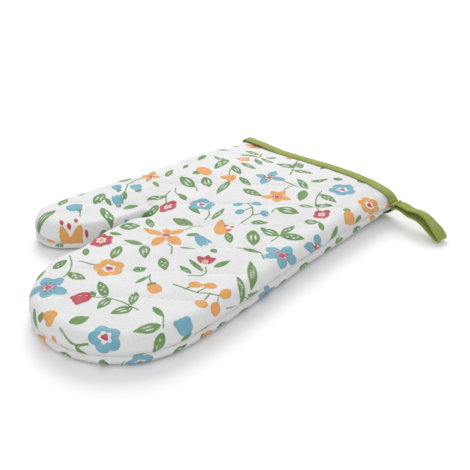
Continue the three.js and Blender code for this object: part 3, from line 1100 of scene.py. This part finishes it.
def make_panels(sizes, colours):
    """Both quilted panels: shaped, settled, printed and cut into hand, fingers and thumb."""
    cotton = printed_cotton(colours)
    lining = plain_cloth("lining_cotton", colours.lining, 0.5)
    wadding = fluff("wadding_edge", colours.wadding)
    seam = Seam()
    pitch = sizes.pitch / MM
    bm = plan_mesh(seam, pitch)
    bm.verts.ensure_lookup_table()
    bm.verts.index_update()
    plan = np.array([v.co[:2] for v in bm.verts])
    faces = [tuple(v.index for v in face.verts) for face in bm.faces]
    bm.free()
    names = {1: "palm", -1: "back"}
    for side in (1, -1):
        outer, inner, flat, depth = panel_places(seam, plan, side, sizes)
        turned = faces if side > 0 else [tuple(reversed(face)) for face in faces]
        gap = quilt_gap(flat[:, :2])
        held = np.maximum(1.0 - smooth(depth, 0.2, 2.5), 1.0 - smooth(gap, 0.5, 1.7))
        held = np.maximum(held, smooth(outer[:, 1], 138, 141))
        moved = settle(outer, turned, np.clip(held, 0, 1), sizes)
        shift = moved - outer
        size = np.linalg.norm(shift, axis=1)
        shift *= (np.minimum(size, SETTLE_MOST[side]) / np.maximum(size, 1e-6))[:, None]
        outer = outer + shift
        print("settled", names[side], "mean", round(size.mean(), 3), "most", round(size.max(), 3))
        outer[:, 2] = np.clip(outer[:, 2], 0.05, None)
        mesh = bpy.data.meshes.new(names[side])
        mesh.from_pydata([tuple(p) for p in outer * MM], [], turned)
        add_layer(mesh, "inner", "FLOAT_VECTOR", inner * MM)
        add_layer(mesh, "flat", "FLOAT_VECTOR", flat * MM)
        fine = subdivided(mesh)
        count = len(fine.vertices)
        places = np.empty(count * 3, np.float32)
        fine.attributes["flat"].data.foreach_get("vector", places)
        places = places.reshape(-1, 3).astype(float) / MM
        pattern = places[:, :2] if side > 0 else back_pattern(places[:, :2])
        inks = Print(pattern)
        draw_sprays(inks)
        if side < 0:
            wall = Print(places[:, :2])
            draw_wall_sprays(wall)
            near_seam = seam.query(places[:, :2])[1] < 9.0
            for ink, depths in wall.inks.items():
                inks.inks[ink] = np.where(near_seam, depths, inks.inks[ink])
        for ink, depths in inks.inks.items():
            add_layer(fine, "ink_" + ink, "FLOAT", np.clip(depths, -4.0, 4.0))
        Shape.surface[side] = BVHTree.FromPolygons(
            [v.co.copy() for v in fine.vertices], [tuple(p.vertices) for p in fine.polygons]
        )
        for section in ("hand", "fingers", "thumb"):
            name = f"{names[side]}_panel_{section}"
            piece = panel_piece(name, fine, section, [cotton, lining, wadding])
            follow(piece, section)
            nodes = [f"{names[side]}_{layer}_{section}" for layer in ("cover", "wadding", "lining")]
            if side > 0:
                nodes += [f"seam_allowance_{part}" for part in ALLOWANCES[section]]
            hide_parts(*nodes)


# ---------------------------------------------------------------- quilting thread


QUILT_FROM_SEAM = 11.5
QUILT_TO_Y = 139.0


def add_stitch(bm, middle, along, across, normal, arch=0.0, rings=5):
    """One rounded stitch on its three half axes, in metres, its middle raised by arch."""
    made = bmesh.ops.create_uvsphere(bm, u_segments=8, v_segments=rings, radius=1.0)["verts"]
    lift = normal.normalized() * arch
    for vert in made:
        a, b, c = vert.co
        vert.co = middle + along * c + across * a + normal * b + lift * (1.0 - c * c)


def stitch_places(sizes):
    """Middles and directions of all quilting stitches, in flat millimetres."""
    step = sizes.stitch_step / MM
    middles = []
    ways = []
    for offsets, across, along in ((QUILT_DOWN, DOWNHILL, UPHILL), (QUILT_UP, UPHILL, DOWNHILL)):
        for offset in offsets:
            for k in range(-60, 61):
                middles.append(across * offset + along * k * step)
                ways.append(along)
    return np.array(middles), ways


def make_quilting(sizes):
    """White stitches laid on both panels along the quilting lines."""
    white = thread("quilting_thread", (0.82, 0.82, 0.81))
    seam = Seam()
    for side in (1, -1):
        centres, ways = stitch_places(sizes)
        depth = seam.query(centres)[1]
        sets = {"hand": [], "fingers": [], "thumb": []}
        for centre, way, inside in zip(centres, ways, depth):
            if inside < QUILT_FROM_SEAM or centre[1] > QUILT_TO_Y:
                continue
            high = Vector((centre[0] * MM, centre[1] * MM, 0.06 * side))
            hit, normal, _, _ = Shape.surface[side].ray_cast(high, Vector((0, 0, -side)))
            if hit is None:
                continue
            sets[section_of(centre)].append((hit, normal, Vector((way[0], way[1], 0.0))))
        for section, stitches in sets.items():
            bm = bmesh.new()
            for hit, normal, way in stitches:
                if normal.z * side < 0:
                    normal = -normal
                along = (way - normal * way.dot(normal)).normalized()
                across = along.cross(normal)
                add_stitch(bm, hit, along * sizes.stitch / 2, across * 0.00025, normal * 0.00015, 0.0001)
            name = f"{'palm' if side > 0 else 'back'}_quilting_{section}"
            piece = finished(name, bm, [white])
            follow(piece, section)


# ---------------------------------------------------------------- binding and loop


def pressed_half(x, sizes):
    """Half the thickness of the edge inside the binding, least at the two side seams."""
    corner = np.minimum(np.abs(x - SIDE_X[0]), np.abs(x - SIDE_X[1]))
    return sizes.cuff_layers / MM / 2 * (0.42 + 0.58 * smooth(corner, 0.0, 24.0))


def mouth_path(sizes):
    """Closed path of the mouth's pressed edge, in x and z from the far corner over the palm."""
    over = np.linspace(-1.0, 1.0, 220)
    x = MID_X + MOUTH_HALF * np.sin(over * math.pi / 2)
    half = pressed_half(x, sizes)
    top = SEAM_Z + np.maximum(cuff_rise(x) - half, 0.5)
    round_under = 12.3 * np.sqrt(np.clip(1 - np.abs((x - MID_X) / HALF_CUFF) ** 5, 0, 1))
    under = SEAM_Z - np.maximum(round_under - half, 0.5)
    lane = np.concatenate([np.stack([x, top], -1), np.stack([x[::-1], under[::-1]], -1)])
    for _ in range(8):
        lane = (np.roll(lane, 1, 0) + 2 * lane + np.roll(lane, -1, 0)) / 4
    step = np.linalg.norm(np.roll(lane, -1, 0) - lane, axis=1)
    along = np.concatenate([[0.0], np.cumsum(step)])
    ring = np.vstack([lane, lane[:1]])
    return along, ring


def lay_cloth(bm, lean_x, lean_y):
    """Lays the weave over the tape from above, leaning with its height."""
    uv = bm.loops.layers.uv.new("UVMap")
    for face in bm.faces:
        for loop in face.loops:
            co = loop.vert.co
            loop[uv].uv = (co.x + co.z * lean_x, co.y + co.z * lean_y)


def make_binding(sizes, colours):
    """The green tape folded over the cuff's edge, and the row of stitches that holds it."""
    green = plain_cloth("binding_cotton", colours.binding, 0.62, 260.0, True, "UVMap")
    along, ring = mouth_path(sizes)
    total = along[-1]
    half = sizes.cuff_layers / MM / 2
    tape = sizes.tape / MM
    wide = sizes.binding_width / MM

    legs = wide - half - tape

    def spot(s):
        return np.array([np.interp(s % total, along, ring[:, i]) for i in (0, 1)])

    def frame_at(u):
        """Where the tape is at u round the mouth, and which way is out."""
        s = (u % 1.0) * total
        run = spot(s + 1.5) - spot(s - 1.5)
        run /= max(np.linalg.norm(run), 1e-6)
        return spot(s), np.array([-run[1], run[0]])

    def section(v):
        """Out and back round the tape: outer face from leg to leg, then its inner face."""
        outside = v < 0.5
        t = v / 0.5 if outside else (1.0 - v) / 0.5
        reach = half + (tape if outside else 0.05)
        run = 2 * legs + math.pi * reach
        s = t * run
        if s < legs:
            n, y = reach, -legs + s
        elif s < legs + math.pi * reach:
            a = (s - legs) / reach
            n, y = reach * math.cos(a), reach * math.sin(a)
        else:
            n, y = -reach, -(s - legs - math.pi * reach)
        return n, y, t

    def place(u, v):
        here, out = frame_at(u)
        v = v % 1.0
        n, y, t = section(v)
        n *= (float(pressed_half(here[0], sizes)) + tape) / (half + tape)
        puff = 0.35 * math.exp(-(((y + legs * 0.45) / (legs * 0.5)) ** 2)) if v < 0.5 else 0.0
        ripples = 0.16 * noise.noise(Vector((here[0] * 0.22, t * 3.0, here[1] * 0.22)))
        tuck = 0.45 * math.exp(-(((y + legs - 1.4) / 0.55) ** 2)) if v < 0.5 else 0.0
        swell = (puff + ripples - tuck) * (1.0 if n > 0 else -1.0)
        n = n + (swell if abs(n) > half * 0.5 else 0.0)
        return here[0] + out[0] * n, CUFF_Y - half - tape + y, here[1] + out[1] * n

    bm = swept(420, 64, place)
    lay_cloth(bm, 0.4, 0.7)
    bmesh.ops.recalc_face_normals(bm, faces=bm.faces)
    piece = finished("cuff_binding_tape", bm, [green])
    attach(piece, "hand")
    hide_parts("cuff_binding")

    seam_thread = thread("binding_thread", [min(1.0, c * 1.25) for c in colours.binding])
    bm = bmesh.new()
    count = int(total / 3.3)
    for side in (1, -1):
        for k in range(count):
            u = (k + 0.5) / count
            here, out = frame_at(u)
            reach = (float(pressed_half(here[0], sizes)) + tape - 0.05) * side
            y = CUFF_Y - half - tape - legs + 1.4
            middle = Vector((here[0] + out[0] * reach, y, here[1] + out[1] * reach))
            run = Vector((out[1], 0.0, -out[0]))
            normal = Vector((out[0], 0.0, out[1])) * side
            add_stitch(bm, middle * MM, run * 1.1 * MM, Vector((0, 0.26 * MM, 0)), normal * 0.22 * MM)
    piece = finished("binding_topstitch", bm, [seam_thread])
    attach(piece, "hand")


LOOP_ROOT_X = 66.9
LOOP_EDGE_Y = 150.4
LOOP_ROUTE = (
    (0, 2.6), (8, 3.1), (16, 2.5), (23, 2.2), (30, 0.3), (37, -4.2), (42.4, -8.6), (44.4, -11.0),
    (42.9, -12.1), (36, -10.6), (27, -6.4), (18, -2.5), (9, -0.8), (0, -1.0),
)


def spline(knots, count):
    """Evenly spaced points on a smooth curve through the knots."""
    knots = np.array(knots, float)
    dense = []
    padded = np.vstack([2 * knots[0] - knots[1], knots, 2 * knots[-1] - knots[-2]])
    for i in range(1, len(padded) - 2):
        p0, p1, p2, p3 = padded[i - 1 : i + 3]
        for t in np.linspace(0, 1, 16, endpoint=False):
            dense.append(
                0.5 * (2 * p1 + (p2 - p0) * t + (2 * p0 - 5 * p1 + 4 * p2 - p3) * t**2
                       + (3 * p1 - p0 - 3 * p2 + p3) * t**3)
            )
    dense.append(knots[-1])
    dense = np.array(dense)
    step = np.linalg.norm(np.diff(dense, axis=0), axis=1)
    along = np.concatenate([[0.0], np.cumsum(step)])
    even = np.linspace(0.0, along[-1], count)
    return np.stack([np.interp(even, along, dense[:, i]) for i in (0, 1)], -1), along[-1]


def make_loop(colours):
    """The hanging loop of stitched tape, and the bar tack at its root."""
    green = plain_cloth("loop_cotton", colours.binding, 0.62, 260.0, True, "UVMap")
    last = 180
    path, length = spline(LOOP_ROUTE, last + 1)
    path = path + np.array([LOOP_ROOT_X, SEAM_Z])
    lower = np.arange(last + 1) > int(np.argmax(path[:, 0]))
    lift = np.where(lower, 3.2, 1.8) * smooth(path[:, 0], 80, 94)
    path[:, 1] += lift - np.where(lower, 1.4, 0.0) * smooth(path[:, 0], 100, 110)
    path[:, 0] += 2.6 * smooth(path[:, 0], 80, 108)
    run = np.gradient(path, axis=0)
    run /= np.linalg.norm(run, axis=1)[:, None]
    out = np.stack([-run[:, 1], run[:, 0]], -1)
    half_thick = 0.62

    def breadth(i):
        """Half the tape's width, gathered under the tack and full at the tip."""
        x = path[i][0]
        return 3.9 + 0.9 * smooth(x, 70, 82) + 0.9 * smooth(x, 92, 110)

    def across(i, w):
        """Where a point w off the tape's middle lies, sideways and up, with the tape's twist."""
        x = path[i][0]
        twist = 0.04 if lower[i] else -0.24
        return LOOP_EDGE_Y - breadth(i) + w, w * twist * smooth(x, 72, 88) * smooth(-x, -110, -99)

    def place(u, v):
        s = u * last
        i = min(int(s), last - 1)
        f = s - i
        here = path[i] * (1 - f) + path[i + 1] * f
        normal = out[i] * (1 - f) + out[i + 1] * f
        a = v * 2 * math.pi
        cos, sin = math.cos(a), math.sin(a)
        w = math.copysign(abs(cos) ** 0.42, cos) * float(breadth(i))
        n = math.copysign(abs(sin) ** 0.75, sin) * half_thick
        n *= 1.0 + 0.25 * math.exp(-((abs(w) - 3.0) / 1.4) ** 2)
        crease = 0.30 * noise.noise(Vector((u * 14.0, w * 0.10, 2.0)))
        n += crease
        y, raised = across(i, w)
        return here[0] + normal[0] * n, float(y), here[1] + normal[1] * n + float(raised)

    bm = swept(last, 40, place)
    bmesh.ops.holes_fill(bm, edges=[e for e in bm.edges if e.is_boundary], sides=0)
    lay_cloth(bm, 0.3, 0.0)
    bmesh.ops.recalc_face_normals(bm, faces=bm.faces)
    piece = finished("loop_tape", bm, [green])
    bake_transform(piece)
    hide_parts("hanging_loop")

    seam_thread = thread("loop_thread", [min(1.0, c * 1.25) for c in colours.binding])
    bm = bmesh.new()
    count = int(length / 3.2)
    for edge in (-0.84, 0.84):
        for side in (1, -1):
            for k in range(1, count - 1):
                i = int((k + 0.5) / count * last)
                normal = Vector((out[i][0], 0.0, out[i][1])) * side
                way = Vector((run[i][0], 0.0, run[i][1]))
                y, raised = across(i, edge * float(breadth(i)))
                middle = Vector((path[i][0], y, path[i][1] + raised)) + normal * (half_thick * 1.12)
                add_stitch(bm, middle * MM, way * 1.05 * MM, Vector((0, 0.24 * MM, 0)), normal * 0.2 * MM)
    piece = finished("loop_topstitch", bm, [seam_thread])
    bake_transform(piece)

    bm = bmesh.new()
    low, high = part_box("loop_bar_tack")
    middle = (Vector(low) + Vector(high)) / 2
    for k in range(18):
        lean = 0.18 if k % 2 else -0.18
        place = middle + Vector((0.0, -5.1 + 0.6 * k, -0.1)) * MM
        along = Vector((1.25, lean, 0.0)) * MM
        add_stitch(bm, place, along, Vector((0, 0, 0.34 * MM)), Vector((0, 0.34 * MM, 0)), rings=6)
    piece = finished("loop_bar_tack_threads", bm, [seam_thread])
    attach(piece, "hand")
    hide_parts("loop_bar_tack")


# ---------------------------------------------------------------- stage


def make_stage(colours):
    """A pale floor, a white room, two soft lights and the camera."""
    kit = Kit("stage_floor")
    place = kit.place()
    shade = kit.noise(place, 3.0, 2.0)
    pale = kit.mix(shade * 0.04, rgba(colours.floor), (0.9, 0.9, 0.9, 1.0))
    material = kit.finish(pale, 0.7 + shade * 0.02)
    bm = bmesh.new()
    bmesh.ops.create_grid(bm, x_segments=2, y_segments=2, size=4.0)
    floor = finished("floor", bm, [material])

    world = bpy.data.worlds.new("soft_room")
    bpy.context.scene.world = world
    world.use_nodes = True
    world.node_tree.nodes["Background"].inputs[0].default_value = (1.0, 1.0, 1.0, 1.0)
    world.node_tree.nodes["Background"].inputs[1].default_value = 0.63

    def panel_light(name, place, target, size, power):
        data = bpy.data.lights.new(name, "AREA")
        data.shape = "SQUARE"
        data.size = size
        data.energy = power
        lamp = bpy.data.objects.new(name, data)
        lamp.location = place
        way = Vector(target) - Vector(place)
        lamp.rotation_euler = way.to_track_quat("-Z", "Y").to_euler()
        bpy.context.scene.collection.objects.link(lamp)

    panel_light("overhead", (-0.95, 0.75, 1.05), (0.0, 0.0, 0.0), 1.1, 19.0)
    panel_light("fill", (0.60, -0.70, 0.95), (0.0, 0.0, 0.0), 1.2, 5.5)

    data = bpy.data.cameras.new("camera")
    data.lens = 68.936
    data.sensor_width = 36.0
    camera = bpy.data.objects.new("camera", data)
    camera.location = Vector((445.0, -370.2, 348.3)) * MM
    way = Vector((-1.0, 36.1, 0.0)) * MM - camera.location
    camera.rotation_euler = way.to_track_quat("-Z", "Y").to_euler()
    bpy.context.scene.collection.objects.link(camera)
    bpy.context.scene.camera = camera
    bpy.context.scene.view_settings.view_transform = "Standard"
    bpy.context.scene.view_settings.look = "None"


# ---------------------------------------------------------------- operators


class MITT_OT_stage(bpy.types.Operator):
    """Adds the pale floor, the soft light and the camera."""

    bl_idname = "mitt.stage"
    bl_label = "Stage"

    def execute(self, context):
        make_stage(context.scene.mitt_colours)
        return {"FINISHED"}


class MITT_OT_panels(bpy.types.Operator):
    """Adds the printed, quilted and lined palm and back panels."""

    bl_idname = "mitt.panels"
    bl_label = "Panels"

    def execute(self, context):
        make_panels(context.scene.mitt_sizes, context.scene.mitt_colours)
        return {"FINISHED"}


class MITT_OT_quilting(bpy.types.Operator):
    """Adds the rows of white quilting stitches."""

    bl_idname = "mitt.quilting"
    bl_label = "Quilting stitches"

    def execute(self, context):
        if not Shape.surface:
            raise RuntimeError("the panels come before their quilting stitches")
        make_quilting(context.scene.mitt_sizes)
        return {"FINISHED"}


class MITT_OT_binding(bpy.types.Operator):
    """Adds the green binding round the cuff with its topstitching."""

    bl_idname = "mitt.binding"
    bl_label = "Cuff binding"

    def execute(self, context):
        make_binding(context.scene.mitt_sizes, context.scene.mitt_colours)
        return {"FINISHED"}


class MITT_OT_loop(bpy.types.Operator):
    """Adds the hanging loop of folded tape and its bar tack."""

    bl_idname = "mitt.loop"
    bl_label = "Hanging loop"

    def execute(self, context):
        make_loop(context.scene.mitt_colours)
        return {"FINISHED"}


class MITT_PT_sidebar(bpy.types.Panel):
    """Lists the mitt's pieces in the sidebar."""

    bl_label = "Quilted oven mitt"
    bl_idname = "MITT_PT_sidebar"
    bl_space_type = "VIEW_3D"
    bl_region_type = "UI"
    bl_category = "Mitt"

    def draw(self, context):
        for operator in OPERATORS:
            self.layout.operator(operator.bl_idname)
        for group in (context.scene.mitt_sizes, context.scene.mitt_colours):
            for name in group.bl_rna.properties.keys():
                if name not in ("rna_type", "name"):
                    self.layout.prop(group, name)


OPERATORS = (MITT_OT_stage, MITT_OT_panels, MITT_OT_quilting, MITT_OT_binding, MITT_OT_loop)
CLASSES = (MittSizes, MittColours, *OPERATORS, MITT_PT_sidebar)


def register():
    for cls in CLASSES:
        bpy.utils.register_class(cls)
    bpy.types.Scene.mitt_sizes = PointerProperty(type=MittSizes)
    bpy.types.Scene.mitt_colours = PointerProperty(type=MittColours)


def unregister():
    del bpy.types.Scene.mitt_colours
    del bpy.types.Scene.mitt_sizes
    for cls in reversed(CLASSES):
        bpy.utils.unregister_class(cls)


def main():
    register()
    bpy.ops.mitt.stage()
    bpy.ops.mitt.panels()
    bpy.ops.mitt.quilting()
    bpy.ops.mitt.binding()
    bpy.ops.mitt.loop()


if __name__ == "__main__":
    main()
